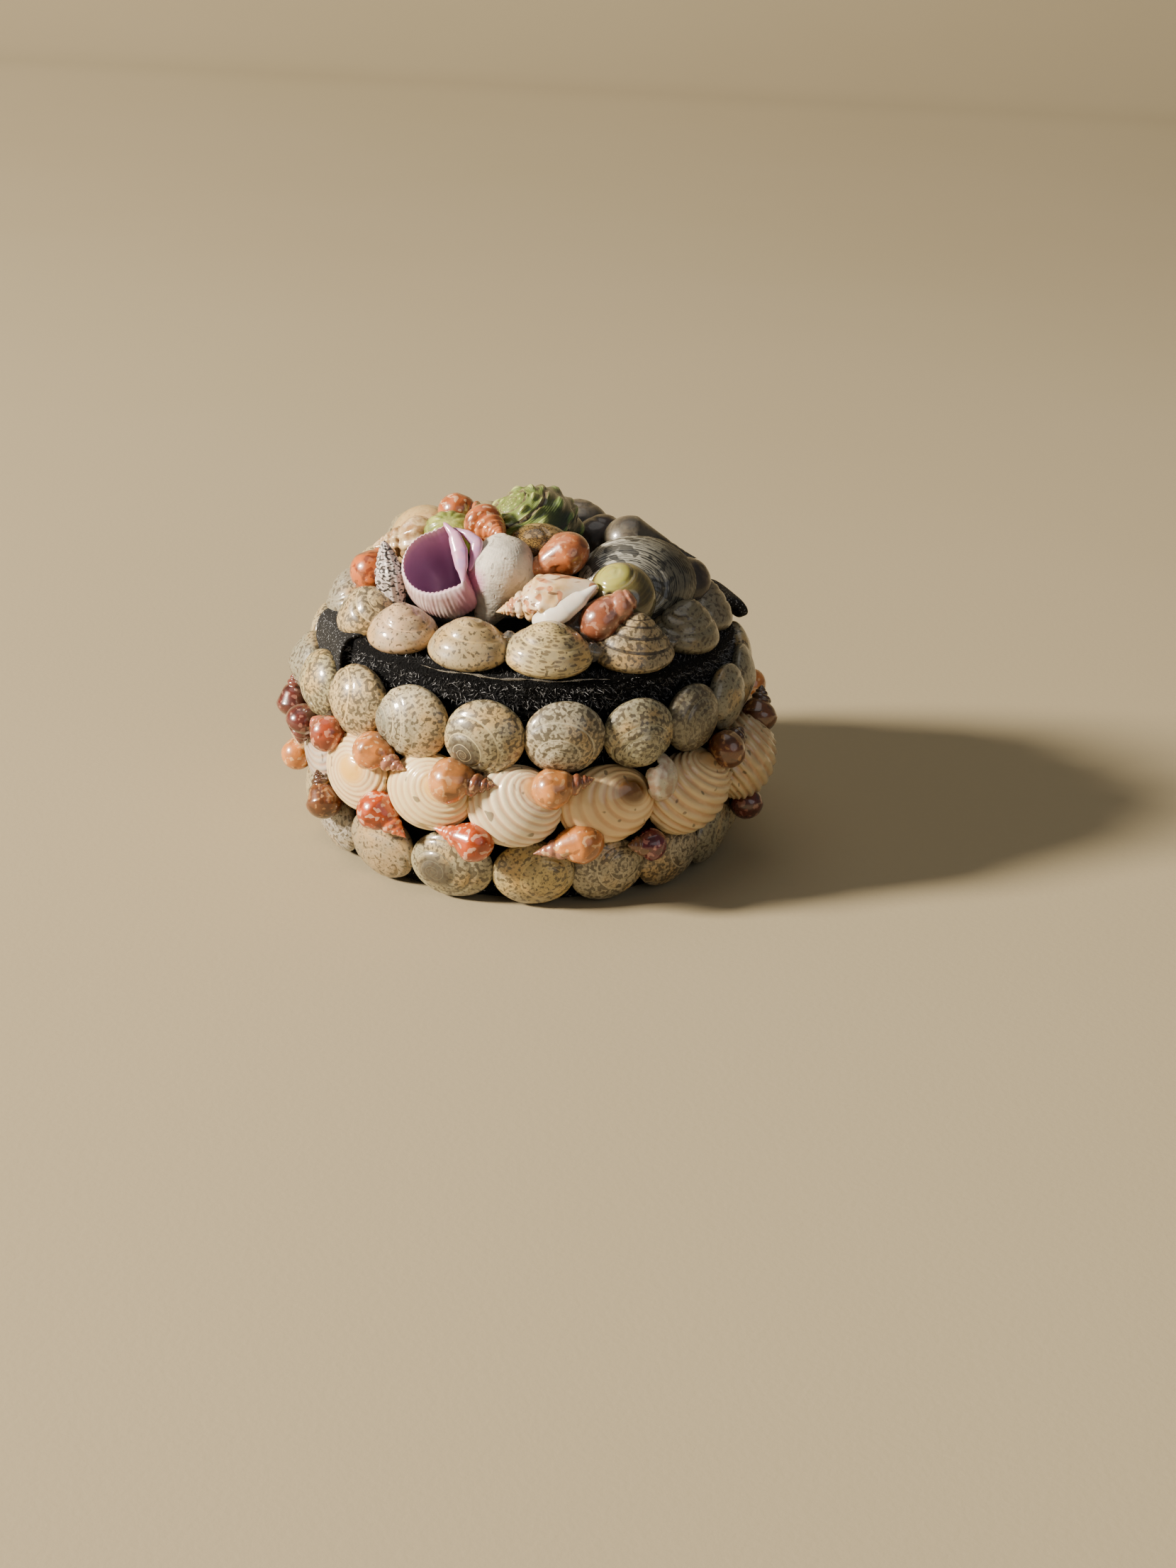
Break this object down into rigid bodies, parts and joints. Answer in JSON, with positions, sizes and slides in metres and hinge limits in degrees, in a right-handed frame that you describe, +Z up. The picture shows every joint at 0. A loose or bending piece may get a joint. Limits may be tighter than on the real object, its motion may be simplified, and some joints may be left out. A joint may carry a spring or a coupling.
{
  "type": "shell trinket box",
  "caption": "Round lidded trinket box covered in black felt and rows of glossy sea shells, with a felt-hinged lid heaped with mixed shells and a felt pull tab.",
  "frame": {"origin": "centre of the box's flat underside, on the surface that it stands on", "axes": "+Z up; +X from the felt hinge towards the pull tab; -Y towards the side that is shown"},
  "size_m": [0.0923, 0.0928, 0.0638],
  "materials": {
    "felt": "fluffy black felt over card, smooth at the hinge",
    "speckled_cream_shell": "varnished shell, fine grey-brown speckles",
    "warm_cream_shell": "varnished shell, ribbed, yellow at the apex",
    "violet_shell": "varnished shell, violet inside and pinkish white outside",
    "olive_shell": "varnished shell, olive and pale green",
    "grey_shell": "varnished shell, white and grey with dark flecks",
    "brown_shell": "varnished shell, dark brown",
    "orange_shell": "varnished shell, orange to red with white flecks"
  },
  "bodies": {
    "base": {"box_tub": "felt", "hinge_wall_strip": "felt", "top_row_shells": "speckled_cream_shell", "middle_row_nerites": "warm_cream_shell", "bottom_row_shells": "speckled_cream_shell", "upper_snail_01": "brown_shell", "upper_snail_02": "brown_shell", "upper_snail_03": "orange_shell", "upper_snail_04": "orange_shell", "upper_snail_05": "orange_shell", "upper_snail_06": "orange_shell", "upper_snail_07": "warm_cream_shell", "upper_snail_08": "brown_shell", "upper_snail_09": "orange_shell", "upper_snail_10": "orange_shell", "upper_snail_11": "orange_shell", "upper_snail_12": "orange_shell", "upper_snail_13": "orange_shell", "upper_snail_14": "orange_shell", "upper_snail_15": "orange_shell", "upper_snail_16": "orange_shell", "lower_snail_01": "orange_shell", "lower_snail_02": "orange_shell", "lower_snail_03": "orange_shell", "lower_snail_04": "orange_shell", "lower_snail_05": "brown_shell", "lower_snail_06": "brown_shell", "lower_snail_07": "orange_shell", "lower_snail_08": "orange_shell", "lower_snail_09": "orange_shell", "lower_snail_10": "orange_shell", "lower_snail_11": "orange_shell", "lower_snail_12": "orange_shell"},
    "lid": {"lid_board": "felt", "lid_rim_shells": "speckled_cream_shell", "lid_open_violet_shell": "violet_shell", "lid_small_conch": "speckled_cream_shell", "lid_moon_shell": "olive_shell", "lid_snail_01": "orange_shell", "lid_snail_02": "orange_shell", "lid_snail_03": "orange_shell", "lid_snail_04": "orange_shell", "lid_snail_05": "orange_shell", "lid_netted_shell": "olive_shell", "lid_ribbed_shell": "grey_shell", "lid_green_turban": "olive_shell", "lid_spotted_spindle": "grey_shell", "lid_pale_green_shell": "olive_shell", "lid_banded_shell": "warm_cream_shell", "lid_cream_shell": "warm_cream_shell", "lid_pointed_shell": "brown_shell", "lid_brown_shell_01": "brown_shell", "lid_brown_shell_02": "brown_shell", "lid_brown_shell_03": "brown_shell", "lid_back_shells_left": "speckled_cream_shell", "lid_back_shells_right": "speckled_cream_shell", "lid_pull_tab": "felt", "hinge_lid_strip": "felt"}
  },
  "joints": [
    {"name": "lid_hinge", "type": "hinge", "parent": "base", "child": "lid", "pos_m": [-0.0385, 0, 0.0409], "axis": [0, -1, 0], "range_deg": [0, 95]}
  ]
}
